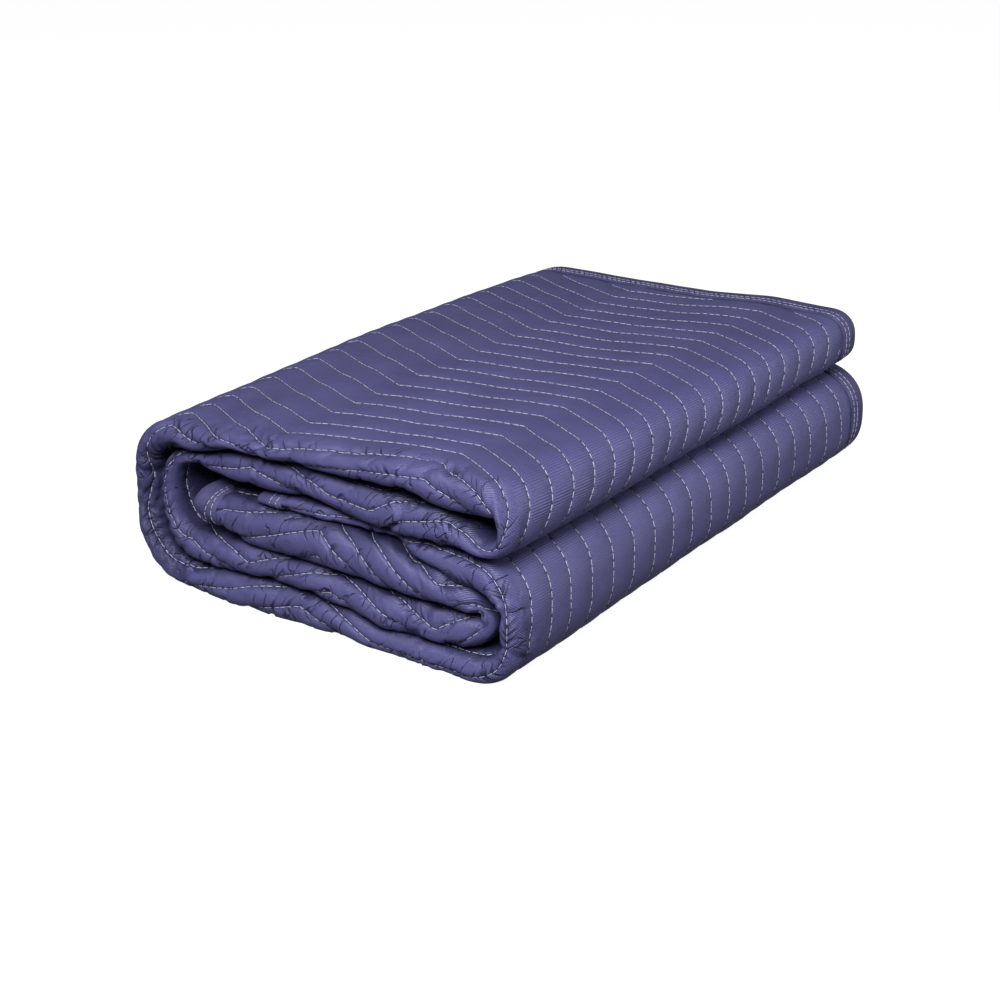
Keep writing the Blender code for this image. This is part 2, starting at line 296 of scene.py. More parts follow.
def near_layer(name, x):
    """Middle height and thickness of a doubled layer at the ridges."""
    return lookup(NEAR_LAYERS[name], x, 1), lookup(NEAR_LAYERS[name], x, 2)


def turn_curve(name, before, after, side, angles):
    """Middle line and thickness of a turn, a rounded half oval between two layers."""
    start, near_reach, far_reach, thin, near_square, far_square, _ = TURNS[name]
    reach = far_reach if side else near_reach
    square = far_square if side else near_square
    layer = far_layer if side else near_layer
    z_before, full_before = layer(before, start)
    z_after, full_after = layer(after, start)
    full = full_before + (full_after - full_before) * angles / math.pi
    thickness = full * (1 - (1 - thin) * np.sin(angles) ** 2)
    run = reach - start - math.copysign((full_before + full_after) * thin / 4, reach - start)
    across = np.sin(angles) ** (2 / square)
    along = np.sign(np.cos(angles)) * np.abs(np.cos(angles)) ** (2 / square)
    z = (z_before + z_after) / 2 + along * (z_before - z_after) / 2
    return start + run * across, z, thickness


def turn_angles(name, before, after):
    """Angles that space the points of a turn evenly along it."""
    angles = np.linspace(0.0, math.pi, 400)
    x, z, _ = turn_curve(name, before, after, 0, angles)
    length = np.concatenate([[0.0], np.cumsum(np.hypot(np.diff(x), np.diff(z)))])
    steps = round(length[-1] / STATION)
    return np.interp(np.linspace(0.0, length[-1], steps + 1)[:-1], length, angles)


class Strip:
    """The folded strip: its middle line at the ridges and at the hems, its ridge, edges and lines."""

    def __init__(self):
        self.starts = {}
        sides = ([], [])
        ridge = []
        edges = []
        count = 0
        for stretch in STRIP:
            name = stretch[1]
            self.starts[name] = count
            if stretch[0] == "layer":
                first, last = stretch[2], stretch[3]
                steps = round(abs(last - first) / STATION)
                x = np.linspace(first, last, steps + 1)[:-1]
                for side, layer in enumerate((near_layer, far_layer)):
                    z, thickness = layer(name, x)
                    sides[side].append(np.stack([x, z, thickness], 1))
                ridge.append(lookup(NEAR_LAYERS[name], x, 3))
            else:
                angles = turn_angles(name, stretch[2], stretch[3])
                for side in (0, 1):
                    sides[side].append(np.stack(turn_curve(name, stretch[2], stretch[3], side, angles), 1))
                share = np.sin(angles) ** 2
                ends = [lookup(NEAR_LAYERS[layer], TURNS[name][0], 3) for layer in stretch[2:4]]
                straight = ends[0] + (ends[1] - ends[0]) * angles / math.pi
                ridge.append(straight + (TURNS[name][6] - straight) * share)
            new = len(sides[0][-1])
            edges.append((count + new / 2, *EDGES[name]))
            count += new
        self.count = count
        self.near = np.concatenate(sides[0])
        self.far = np.concatenate(sides[1])
        steps = [np.hypot(*np.diff(side[:, :2], axis=0).T) for side in (self.near, self.far)]
        self.s = np.concatenate([[0.0], np.cumsum((steps[0] + steps[1]) / 2)])
        self.length = float(self.s[-1])
        self.ridge = np.concatenate(ridge)
        self.edge = [np.interp(np.arange(count), [e[0] for e in edges], [e[k] for e in edges]) for k in (1, 2)]
        self.half = (self.near[:, 2] + self.far[:, 2]) / 4
        self.normals = []
        for side in (self.near, self.far):
            tangent = np.gradient(side[:, :2], axis=0)
            tangent /= np.linalg.norm(tangent, axis=1)[:, None]
            self.normals.append(np.stack([-tangent[:, 1], tangent[:, 0]], 1))
        self.along = [self.face_lengths(sign) for sign in (1.0, -1.0)]

    def face_lengths(self, sign):
        """Distance along one face of the doubled cloth at every station."""
        steps = 0.0
        for side, normal in zip((self.near, self.far), self.normals):
            face = side[:, :2] + sign * normal * side[:, 2:] / 2
            steps = steps + np.hypot(*np.diff(face, axis=0).T) / 2
        return np.concatenate([[0.0], np.cumsum(steps)])

    def start_of(self, name):
        return float(self.s[self.starts[name]])

    def end_of(self, name):
        names = [stretch[1] for stretch in STRIP]
        after = names.index(name) + 1
        return self.length if after == len(names) else self.start_of(names[after])

    def at(self, values, s):
        """Values at distances s, carried straight on past either end."""
        inside = np.interp(s, self.s, values)
        first = (values[3] - values[0]) / (self.s[3] - self.s[0])
        last = (values[-1] - values[-4]) / (self.s[-1] - self.s[-4])
        return inside + np.minimum(s, 0.0) * first + np.maximum(s - self.length, 0.0) * last

    def place(self, s, y, offset):
        """Points in metres, from distances along the strip, depths and offsets from the middle line."""
        s, y, offset = np.broadcast_arrays(np.asarray(s, float), y, offset)
        half = np.interp(s, self.s, self.half)
        ends = []
        for side, normal in zip((self.near, self.far), self.normals):
            scale = np.interp(s, self.s, side[:, 2] / 2) / half
            x = self.at(side[:, 0], s) + offset * scale * np.interp(s, self.s, normal[:, 0])
            z = self.at(side[:, 1], s) + offset * scale * np.interp(s, self.s, normal[:, 1])
            ends.append((x, z))
        share = (y - NEAR_Y) / DEPTH
        x = ends[0][0] + share * (ends[1][0] - ends[0][0])
        z = ends[0][1] + share * (ends[1][1] - ends[0][1])
        across = smooth((x - SPINE_X) / (FOLDS_X - SPINE_X))
        crown = CROWN_SPINE + across * (CROWN_FOLDS - CROWN_SPINE)
        z = z * (1.0 + crown * np.maximum(4.0 * share * (1.0 - share), 0.0))
        return np.stack([x, y, np.maximum(z, 0.0)], -1) * MM

    def ridge_y(self, s):
        wave = 1.3 * noise(s / 42.0, s * 0.0, 3) + 0.7 * noise(s / 17.0, s * 0.0, 4)
        return self.at(self.ridge, s) + wave + 1.5

    def nose(self, s):
        """Length of the rounded nose at the ridge, and the quarter arc over it."""
        top = smooth((s - self.start_of("top_outer")) / 40.0) * smooth((self.start_of("upper_fold") - s) / 40.0)
        length = NOSE_LENGTH + (TOP_NOSE_LENGTH - NOSE_LENGTH) * top
        near_half = np.interp(s, self.s, self.near[:, 2] / 2)
        return length, math.pi / 2 * np.sqrt((near_half ** 2 + length ** 2) / 2)

    def line(self, s):
        """Y of the middle quilting line on the outer ply, and the pitch of the lines."""
        s = np.asarray(s, float) - self.start_of("top_outer")
        rows = np.array(LINES)
        return np.interp(s, rows[:, 0], rows[:, 1]), np.interp(s, rows[:, 0], rows[:, 2])

    def across(self, s, row):
        """The distance a of a quilting line, or of a row between two lines, at distance s."""
        middle, pitch = self.line(s)
        length, arc = self.nose(s)
        row = np.asarray(row, float)
        steps = np.maximum(row, CROWDED_ROW) + CROWDED_SHARE * np.minimum(row - CROWDED_ROW, 0.0)
        return self.at(self.ridge, s) + length - arc - middle - steps * pitch

    def row(self, s, a):
        """The row at distance a, a whole number on a quilting line."""
        middle, pitch = self.line(s)
        length, arc = self.nose(s)
        steps = (self.at(self.ridge, s) + length - arc - middle - a) / pitch
        return np.maximum(steps, CROWDED_ROW) + np.minimum(steps - CROWDED_ROW, 0.0) / CROWDED_SHARE

    def end_share(self, s):
        """1 inside the tape of either short end, falling to 0 past the shoulder of the padding."""
        inside = np.minimum(s, self.length - s)
        return 1.0 - smooth((inside - TAPE_WIDTH) / SHOULDER)

    def face(self, s, share):
        """Offset of a ply's padded face, where share is 1 at the pressed edge."""
        drawn_in = TAPE_GAP + TAPE_THICKNESS + TAPE_SUNK
        return np.interp(s, self.s, self.half) - share * drawn_in

    def slit(self, share):
        return SLIT / 2 + share * (TAPE_GAP + TAPE_THICKNESS)

    def limit(self, s, ply):
        """The distance a at which the padding of a ply ends, as a positive number."""
        length, arc = self.nose(s)
        centre = self.ridge_y(s) + length
        return self.at(self.edge[ply], s) - TAPE_WIDTH - SHOULDER - centre + arc

    def outer_shown(self, s):
        """1 where the outer face of the outer ply shows, 0 where it is folded in or lies underneath."""
        shown = 0.0
        for first, last in (("lower_fold", "lower_fold"), ("outer_spine", "upper_fold")):
            start = self.start_of(first) - SHOWN_OVERLAP
            stop = self.end_of(last) + SHOWN_OVERLAP
            shown = np.maximum(shown, smooth((s - start) / 8.0) * smooth((stop - s) / 8.0))
        return shown

    def window(self, s, first, last):
        """1 from the start of one stretch to the end of another, falling to 0 at both."""
        return smooth((s - self.start_of(first)) / 10.0) * smooth((self.end_of(last) - s) / 10.0)

    def spines(self, s):
        """1 in the two turns at the spine, falling to 0 at their ends."""
        outer = self.window(s, "outer_spine", "outer_spine")
        return np.maximum(outer, self.window(s, "inner_spine", "inner_spine"))


def relief(strip, s, a):
    """How far the face lies inside its padded level: grooves at the lines, puckers and soft dents."""
    length, arc = strip.nose(s)
    row = strip.row(s, a)
    _, pitch = strip.line(s)
    off_line = np.abs(row - np.round(row)) * pitch
    past_nose = np.abs(a) - arc
    nose = 1.0 - smooth(past_nose / NOSE_ZONE)
    outer = np.where(a < 0.0, strip.outer_shown(s), 0.0)
    under = np.where(a < 0.0, strip.window(s, "bottom_outer", "bottom_outer"), 0.0)
    shown = np.maximum(nose, np.maximum(outer, 0.6 * under))
    depth = GROOVE * (FLAT_GROOVE + (1.0 - FLAT_GROOVE) * nose)
    groove = depth * np.exp(-((off_line / GROOVE_WIDTH) ** 1.3))
    pinch = 0.5 * np.exp(-((off_line / 1.6) ** 2))
    line = np.round(row)
    fan = noise(s / 13.0 + 0.08 * off_line, line * 3.7, 13)
    vees = np.maximum(0.0, 1.0 - np.abs(fan) / 0.26) * np.clip(noise(s / 26.0, line * 1.3, 14) + 0.3, 0.0, 1.0)
    vees = 2.6 * vees * np.exp(-((off_line - 1.0) / 9.0) ** 2)
    along = noise(s / 9.0, row * 0.8, 11)
    pucker = (0.2 + 0.5 * nose) * np.exp(-((off_line - 3.5) / 4.5) ** 2) * along
    slanted = s + 0.35 * a
    field = noise(slanted / 19.0, a / 45.0, 21) + 0.3 * noise(s / 8.0, a / 16.0, 22)
    crease = np.maximum(0.0, 1.0 - np.abs(field) / 0.17)
    crease = crease * np.clip(noise(s / 45.0, a / 30.0, 23) + 0.35, 0.0, 1.0)
    wrinkles = (0.12 + 3.0 * nose) * crease + nose * vees
    inward = nose * strip.spines(s) * smooth((a / arc + 0.55) / 0.8)
    gathers = np.sin(math.pi * (s / 11.0 + 0.05 * np.abs(a) + 1.2 * noise(s / 30.0, a / 20.0, 41)))
    wrinkles = wrinkles + 2.2 * inward * (1.0 - np.abs(gathers)) ** 2
    soft = (1.2 * noise(s / 60.0, a / 75.0, 31) + 0.6 * noise(s / 24.0, a / 34.0, 32)) * 0.8
    return shown * (groove + pinch + pucker + wrinkles) + soft * np.maximum(shown, 0.2)


def surface(strip, s, a, lift=0.0):
    """Points on the outside of the doubled cloth, in metres, lifted off it by some millimetres."""
    s, a = np.broadcast_arrays(np.asarray(s, float), np.asarray(a, float))
    length, arc = strip.nose(s)
    centre = strip.ridge_y(s) + length
    face = strip.face(s, strip.end_share(s))
    angle = np.clip(np.abs(a) / arc, 0.0, 1.0) * math.pi / 2
    sign = -np.sign(a)
    y = centre - length * np.cos(angle) + np.maximum(np.abs(a) - arc, 0.0)
    offset = sign * face * np.sin(angle)
    normal_y = -face * np.cos(angle)
    normal_w = length * np.sin(angle)
    size = np.hypot(normal_y, normal_w)
    out = lift - relief(strip, s, a)
    y = y + out * normal_y / size
    offset = offset + sign * out * normal_w / size
    return strip.place(s, y, offset)


def skin_rows(strip):
    """For each station, the keys and distances a of the points on the outside of the padding."""
    _, arc = strip.nose(strip.s)
    limits = np.stack([-strip.limit(strip.s, 0), strip.limit(strip.s, 1)], 1)
    most = np.ceil(strip.row(strip.s, limits[:, 0]) * PARTS).astype(int)
    least = np.floor(strip.row(strip.s, limits[:, 1]) * PARTS).astype(int)
    shown = strip.outer_shown(strip.s) > 0.0
    under = (strip.s >= strip.start_of("bottom_outer")) & (strip.s <= strip.end_of("bottom_outer"))
    rows = []
    for index in range(strip.count):
        part = np.arange(most[index], least[index] - 1, -1)
        a = strip.across(strip.s[index], part / PARTS)
        step = part % PARTS
        keep = (np.abs(a) < arc[index] + NOSE_ZONE / 3) | (part % SPARSE_EVERY == 0)
        keep |= (np.abs(a) < arc[index] + NOSE_ZONE) & np.isin(step, NOSE_ROWS)
        if shown[index]:
            keep |= (a < 0.0) & np.isin(step, FINE_ROWS)
        if under[index]:
            keep |= (a < 0.0) & np.isin(step, MEDIUM_ROWS)
        keep &= (a > limits[index, 0] + 1.0) & (a < limits[index, 1] - 1.0)
        keys = np.concatenate([[-100001], -part[keep], [100001]])
        rows.append((keys, np.concatenate([limits[index, :1], a[keep], limits[index, 1:]])))
    return rows


def lip_points(strip):
    """Flat strips under the tapes of both plies, and the points of the slit between the plies."""
    face = strip.face(strip.s, 1.0)
    length, _ = strip.nose(strip.s)
    centre = strip.ridge_y(strip.s) + length
    closed = strip.slit(strip.end_share(strip.s))
    opened = np.full(strip.count, strip.slit(1.0))
    lips = []
    inside = []
    for ply, sign in ((0, 1.0), (1, -1.0)):
        edge = strip.edge[ply]
        lips.append([strip.place(strip.s, y, sign * face) for y in (edge, edge - TAPE_WIDTH)])
        depths = (edge, edge - TAPE_WIDTH, edge - TAPE_WIDTH - SHOULDER, np.zeros(strip.count), centre)
        offsets = (opened, opened, closed, closed, closed)
        inside.append([strip.place(strip.s, y, sign * w) for y, w in zip(depths, offsets)])
    tip = strip.place(strip.s, centre - closed, 0.0)
    outer_lips = (np.stack(lips[0], 1), np.stack(lips[1][::-1], 1))
    return outer_lips, np.stack(inside[0] + [tip] + inside[1][::-1], 1)


def quilt_mesh(strip):
    """Vertices, cloth coordinates with a share of painted shade, and faces of the quilted cloth, one closed solid."""
    rows = skin_rows(strip)
    sizes = [len(a) for _, a in rows]
    stops = np.cumsum(sizes)
    s_all = np.repeat(strip.s, sizes)
    a_all = np.concatenate([a for _, a in rows])
    skin = surface(strip, s_all, a_all)
    lips, inside = lip_points(strip)
    inner_keys = [-100003, -100002, -100001, -50, -20, 0, 20, 50, 100001, 100002, 100003]
    points = []
    coordinates = []
    faces = []
    rings = []
    base = 0
    for index, (keys, a) in enumerate(rows):
        skin_points = skin[stops[index] - sizes[index]:stops[index]]
        ring_keys = [-100003, -100002] + keys.tolist() + [100002, 100003]
        points += [lips[0][index], skin_points, lips[1][index], inside[index]]
        lip = SHOULDER + np.array([0.0, TAPE_WIDTH])
        over = np.concatenate([a[0] - lip[::-1], a, a[-1] + lip])
        over = np.concatenate([over, np.linspace(over[0], over[-1], len(inner_keys))])
        coordinates.append(np.stack([np.full(len(over), strip.s[index]), over], 1))
        outer_ring = [(key, base + n) for n, key in enumerate(ring_keys)]
        base += len(ring_keys)
        inner_ring = [(key, base + n) for n, key in enumerate(inner_keys)]
        base += len(inner_keys)
        rings.append((outer_ring, inner_ring))
    for (out_a, in_a), (out_b, in_b) in zip(rings, rings[1:]):
        bridge(faces, out_a, out_b, False)
        bridge(faces, in_a, in_b, True)
        for end in (0, -1):
            side = [out_a[end][1], out_b[end][1], in_b[end][1], in_a[end][1]]
            faces.append(side if end == 0 else side[::-1])
    bridge(faces, rings[0][0], rings[0][1], True)
    bridge(faces, rings[-1][0], rings[-1][1], False)
    coordinates = np.concatenate(coordinates)
    row = strip.row(coordinates[:, 0], coordinates[:, 1])
    _, arc = strip.nose(coordinates[:, 0])
    nose = 1.0 - smooth((np.abs(coordinates[:, 1]) - arc) / NOSE_ZONE)
    lengths = [np.interp(coordinates[:, 0], strip.s, along) for along in strip.along]
    along = np.where(coordinates[:, 1] < 0.0, lengths[0], lengths[1])
    # Painted shade: the colour is darkened where the cloth turns into the hollows between layers and on the inside of
    # the two spine turns, standing in for the shade that falls there.
    open_face = np.where(coordinates[:, 1] < 0.0, strip.outer_shown(coordinates[:, 0]), 0.0)
    painted_shade_share = (1.0 - open_face) * smooth((np.abs(coordinates[:, 1]) / arc - 0.36) / 0.6)
    inward = strip.spines(coordinates[:, 0]) * smooth((coordinates[:, 1] / arc + 0.5) / 0.9)
    painted_shade_share = np.maximum(painted_shade_share, 0.85 * inward)
    # The face attribute holds the distance along each face, the nose share and the share of painted shade.
    attributes = {
        "cloth": np.column_stack([coordinates, row]),
        "face": np.column_stack([along, nose, painted_shade_share]),
    }
    return np.concatenate(points), attributes, faces


def bridge(faces, one, two, flip):
    """Faces between two lines of (key, vertex); lines with unlike counts are joined by fans."""
    i = 0
    j = 0
    while i < len(one) - 1 or j < len(two) - 1:
        next_one = one[i + 1][0] if i < len(one) - 1 else math.inf
        next_two = two[j + 1][0] if j < len(two) - 1 else math.inf
        if next_one == next_two:
            face = [one[i][1], one[i + 1][1], two[j + 1][1], two[j][1]]
            i += 1
            j += 1
        elif next_one < next_two:
            face = [one[i][1], one[i + 1][1], two[j][1]]
            i += 1
        else:
            face = [one[i][1], two[j + 1][1], two[j][1]]
            j += 1
        faces.append(face[::-1] if flip else face)


def add_piece(name, points, faces, material, attributes=None):
    mesh = bpy.data.meshes.new(name)
    mesh.from_pydata(np.asarray(points).tolist(), [], faces)
    mesh.shade_smooth()
    for key, values in (attributes or {}).items():
        mesh.attributes.new(key, "FLOAT_VECTOR", "POINT").data.foreach_set("vector", values.ravel())
    mesh.materials.append(material)
    piece = bpy.data.objects.new(name, mesh)
    bpy.context.scene.collection.objects.link(piece)
    return piece


def tube_rings(centres, across, up, radius, sides, taper):
    """Rings of points round a line of centres, thinner towards its two ends."""
    angles = 2 * math.pi * np.arange(sides) / sides
    sizes = radius * np.ones(len(centres))
    sizes[0] *= taper
    sizes[-1] *= taper
    circle = np.cos(angles)[None, :, None] * across[:, None, :] + np.sin(angles)[None, :, None] * up[:, None, :]
    return centres[:, None, :] + circle * sizes[:, None, None]


def tube_faces(base, count, sides):
    faces = []
    for n in range(count - 1):
        for k in range(sides):
            low = base + n * sides
            nxt = (k + 1) % sides
            faces.append((low + k, low + nxt, low + sides + nxt, low + sides + k))
    faces.append(tuple(base + k for k in range(sides))[::-1])
    faces.append(tuple(base + (count - 1) * sides + k for k in range(sides)))
    return faces


def dashes(path, normals, pitch, length, radius, phase, store):
    """Adds running stitches along a path of points in metres."""
    steps = np.linalg.norm(np.diff(path, axis=0), axis=1)
    distance = np.concatenate([[0.0], np.cumsum(steps)]) / MM
    start = phase
    while start + length < distance[-1]:
        wobble = 0.45 * math.sin(3.7 * start + phase)
        stops = start + wobble + length * np.array([0.0, 0.14, 0.86, 1.0])
        centres = np.stack([np.interp(stops, distance, path[:, k]) for k in range(3)], 1)
        up = np.stack([np.interp(stops, distance, normals[:, k]) for k in range(3)], 1)
        up /= np.linalg.norm(up, axis=1)[:, None]
        sink = np.array([-0.9, 0.1, 0.1, -0.9]) * radius
        centres = centres + up * sink[:, None] * MM
        along = np.gradient(centres, axis=0)
        across = np.cross(along, up)
        across /= np.linalg.norm(across, axis=1)[:, None]
        base = store["count"]
        rings = tube_rings(centres, across, up, radius * MM, 5, 0.55)
        store["points"].append(rings.reshape(-1, 3))
        store["faces"] += tube_faces(base, len(stops), 5)
        store["count"] += rings.shape[0] * rings.shape[1]
        start += pitch


def quilting_thread(strip):
    """Running stitches in every groove that shows."""
    store = {"points": [], "faces": [], "count": 0}
    s = np.arange(TAPE_WIDTH + 3.0, strip.length - TAPE_WIDTH - 3.0, 0.7)
    length, arc = strip.nose(s)
    limits = (-strip.limit(s, 0), strip.limit(s, 1))
    under = (s > strip.start_of("bottom_outer")) & (s < strip.end_of("bottom_outer"))
    shown_outer = (strip.outer_shown(s) > 0.5) | under
    for row in range(-24, 46):
        a = strip.across(s, row)
        zone = np.abs(a) < arc + NOSE_ZONE - 2.0
        shown = (zone | ((a < 0.0) & shown_outer)) & (a > limits[0] + 0.5) & (a < limits[1] - 0.5)
        edges = np.flatnonzero(np.diff(np.concatenate([[0], shown.astype(int), [0]])))
        for first, last in zip(edges[::2], edges[1::2]):
            if last - first < 14:
                continue
            run = slice(first, last)
            path = surface(strip, s[run], a[run], 0.25)
            above = surface(strip, s[run], a[run], 1.25)
            normals = above - path
            phase = 1.0 + 4.0 * ((row * 0.618) % 1.0)
            dashes(path, normals, STITCH_PITCH, STITCH_LENGTH, THREAD, phase, store)
    return np.concatenate(store["points"]), store["faces"]


def tape_outline(face, slit, bulge):
    """Outside and inside lines of a tape folded over an edge, as (distance past the edge, offset)."""
    lip = TAPE_GAP - TAPE_WIDTH
    tip = TAPE_GAP + TAPE_THICKNESS
    middle = (face + slit) / 2
    half = (face - slit) / 2 + tip
    outside = [(lip, face + TAPE_GAP + 0.25), (lip + 0.5, face + tip), (lip / 2, face + tip + bulge)]
    outside += [(-3.0, face + tip)]
    for degrees in (65, 40, 15, -15, -40, -65):
        angle = math.radians(degrees)
        outside.append((-3.0 + (3.0 + tip) * math.cos(angle) ** 0.6, middle + half * math.sin(angle)))
    outside += [(-3.0, slit - tip), (lip / 2, slit - tip), (lip + 0.5, slit - tip), (lip, slit - TAPE_GAP - 0.25)]
    inside = [(lip, face + TAPE_GAP), (TAPE_GAP, face + TAPE_GAP), (TAPE_GAP, slit - TAPE_GAP), (lip, slit - TAPE_GAP)]
    return outside, inside


def loft(loops):
    """Vertices and faces of a solid lofted through closed loops with equal counts."""
    size = len(loops[0])
    points = np.concatenate(loops)
    faces = []
    for n in range(len(loops) - 1):
        for k in range(size):
            low = n * size
            nxt = (k + 1) % size
            faces.append((low + k, low + size + k, low + size + nxt, low + nxt))
    return points, faces, size


def loop_caps(faces, loops, outside_count):
    """Closes both ends of a loft of U-shaped loops with quads between the outside and the inside line."""
    size = len(loops[0])
    inside_count = size - outside_count
    for base, flip in ((0, False), ((len(loops) - 1) * size, True)):
        outer = [base + k for k in range(outside_count)]
        inner = [base + size - 1 - k for k in range(inside_count)]
        keyed_outer = [(k / (outside_count - 1), v) for k, v in enumerate(outer)]
        keyed_inner = [(k / (inside_count - 1), v) for k, v in enumerate(inner)]
        bridge(faces, keyed_outer, keyed_inner, flip)


def edge_tape(strip, ply):
    """The binding along the long edge of one ply, and the paths of its stitches."""
    sign = 1.0 if ply == 0 else -1.0
    loops = []
    rows = {key: ([], []) for key in ("top1", "top2", "low1", "low2")}
    outside_count = 0
    for s in np.arange(0.0, strip.length + 0.1, 2.6):
        edge = float(strip.at(strip.edge[ply], s)) + 0.8 * float(noise(s / 22.0, 0.0, 41 + ply))
        face = float(strip.face(s, 1.0))
        slit = strip.slit(1.0)
        bulge = 0.25 * float(noise(s / 6.0, 0.0, 51 + ply))
        outside, inside = tape_outline(face, slit, bulge)
        outside_count = len(outside)
        loop = np.array(outside + inside[::-1])
        loops.append(strip.place(s, edge + loop[:, 0], sign * loop[:, 1]))
        tip = TAPE_GAP + TAPE_THICKNESS
        lip = TAPE_GAP - TAPE_WIDTH
        for n, inset in enumerate(HEM_ROWS):
            for name, level, out in (("top", face + tip, 1.0), ("low", slit - tip, -1.0)):
                y = edge + lip + inset
                rows[f"{name}{n + 1}"][0].append(strip.place(s, y, sign * (level + out * 0.12)))
                rows[f"{name}{n + 1}"][1].append(strip.place(s, y, sign * (level + out * 1.12)))
    points, faces, _ = loft(loops)
    loop_caps(faces, loops, outside_count)
    if sign > 0:
        faces = [face[::-1] for face in faces]
    paths = [(np.array(p), np.array(q) - np.array(p)) for p, q in rows.values()]
    return points, faces, paths


def end_tape(strip, at_start):
    """The binding across a short end: in along the outer ply, round the ridge and out again."""
    end = 0.0 if at_start else strip.length
    outward = -1.0 if at_start else 1.0
    face = float(strip.face(end, 1.0))
    slit = strip.slit(1.0)
    length, _ = (float(v) for v in strip.nose(end))
    centre = float(strip.ridge_y(end)) + length
    route = []
    for ply, sign in ((0, 1.0), (1, -1.0)):
        stop = float(strip.at(strip.edge[ply], end)) - TAPE_WIDTH - 2 * TAPE_THICKNESS
        arm = [(y, sign * math.pi / 2) for y in np.linspace(stop, centre + 2.0, 90)]
        route.append(arm)
    nose = [(None, math.pi / 2 - math.pi * k / 16) for k in range(17)]
    stops = route[0] + nose + route[1][::-1]
    outside, inside = tape_outline(face, slit, 0.1)
    loop = outside + inside[::-1]
    loops = []
    paths = [([], []) for _ in HEM_ROWS]
    tip = TAPE_GAP + TAPE_THICKNESS
    lip = TAPE_GAP - TAPE_WIDTH
    for y, angle in stops:
        def at(past, radius):
            s = end + outward * past
            depth = y
            if y is None:
                stretch = (length + radius - face) / max(radius, 0.5)
                depth = centre - radius * math.cos(angle) * stretch
            return strip.place(s, depth, radius * math.sin(angle))
        loops.append(np.array([at(past, radius) for past, radius in loop]))
        for n, inset in enumerate(HEM_ROWS):
            paths[n][0].append(at(lip + inset, face + tip + 0.12))
            paths[n][1].append(at(lip + inset, face + tip + 1.12))
    points, faces, _ = loft(loops)
    loop_caps(faces, loops, len(outside))
    if not at_start:
        faces = [face_[::-1] for face_ in faces]
    return points, faces, [(np.array(p), np.array(q) - np.array(p)) for p, q in paths]


class Nodes:
    """Short names for building a material's nodes."""

    def __init__(self, name):
        self.material = bpy.data.materials.new(name)
        self.material.use_nodes = True
        self.tree = self.material.node_tree
        self.shader = self.tree.nodes["Principled BSDF"]

    def new(self, kind, **values):
        node = self.tree.nodes.new(kind)
        for key, value in values.items():
            setattr(node, key, value)
        return node

    def link(self, one, two):
        self.tree.links.new(one, two)

    def math(self, operation, one, two=None):
        node = self.new("ShaderNodeMath", operation=operation)
        for n, value in enumerate((one, two)):
            if value is None:
                continue
            if isinstance(value, (int, float)):
                node.inputs[n].default_value = value
            else:
                self.link(value, node.inputs[n])
        return node.outputs[0]

    def noise(self, vector, scale, detail=2.0, roughness=0.5):
        node = self.new("ShaderNodeTexNoise")
        node.inputs["Scale"].default_value = scale
        node.inputs["Detail"].default_value = detail
        node.inputs["Roughness"].default_value = roughness
        self.link(vector, node.inputs["Vector"])
        return node.outputs["Fac"]

    def ramp(self, value, stops):
        node = self.new("ShaderNodeValToRGB")
        elements = node.color_ramp.elements
        for n, (position, colour) in enumerate(stops):
            element = elements[n] if n < 2 else elements.new(position)
            element.position = position
            element.color = (*colour, 1.0)
        self.link(value, node.inputs["Fac"])
        return node.outputs["Color"]

    def bump(self, height, strength, distance, normal=None):
        node = self.new("ShaderNodeBump")
        node.inputs["Strength"].default_value = strength
        node.inputs["Distance"].default_value = distance
        self.link(height, node.inputs["Height"])
        if normal is not None:
            self.link(normal, node.inputs["Normal"])
        return node.outputs["Normal"]

    def attribute(self, name):
        attribute = self.new("ShaderNodeAttribute", attribute_name=name, attribute_type="GEOMETRY")
        split = self.new("ShaderNodeSeparateXYZ")
        self.link(attribute.outputs["Vector"], split.inputs[0])
        return split.outputs["X"], split.outputs["Y"], split.outputs["Z"]

    def stretched(self, one, two, scale_one, scale_two):
        """A flat vector of two values, each scaled by its own factor."""
        both = self.new("ShaderNodeCombineXYZ")
        self.link(self.math("MULTIPLY", one, scale_one), both.inputs[0])
        self.link(self.math("MULTIPLY", two, scale_two), both.inputs[1])
        return both.outputs[0]

    def range(self, value, from_low, from_high, to_low, to_high):
        node = self.new("ShaderNodeMapRange", interpolation_type="SMOOTHSTEP")
        self.link(value, node.inputs["Value"])
        node.inputs["From Min"].default_value = from_low
        node.inputs["From Max"].default_value = from_high
        node.inputs["To Min"].default_value = to_low
        node.inputs["To Max"].default_value = to_high
        return node.outputs["Result"]


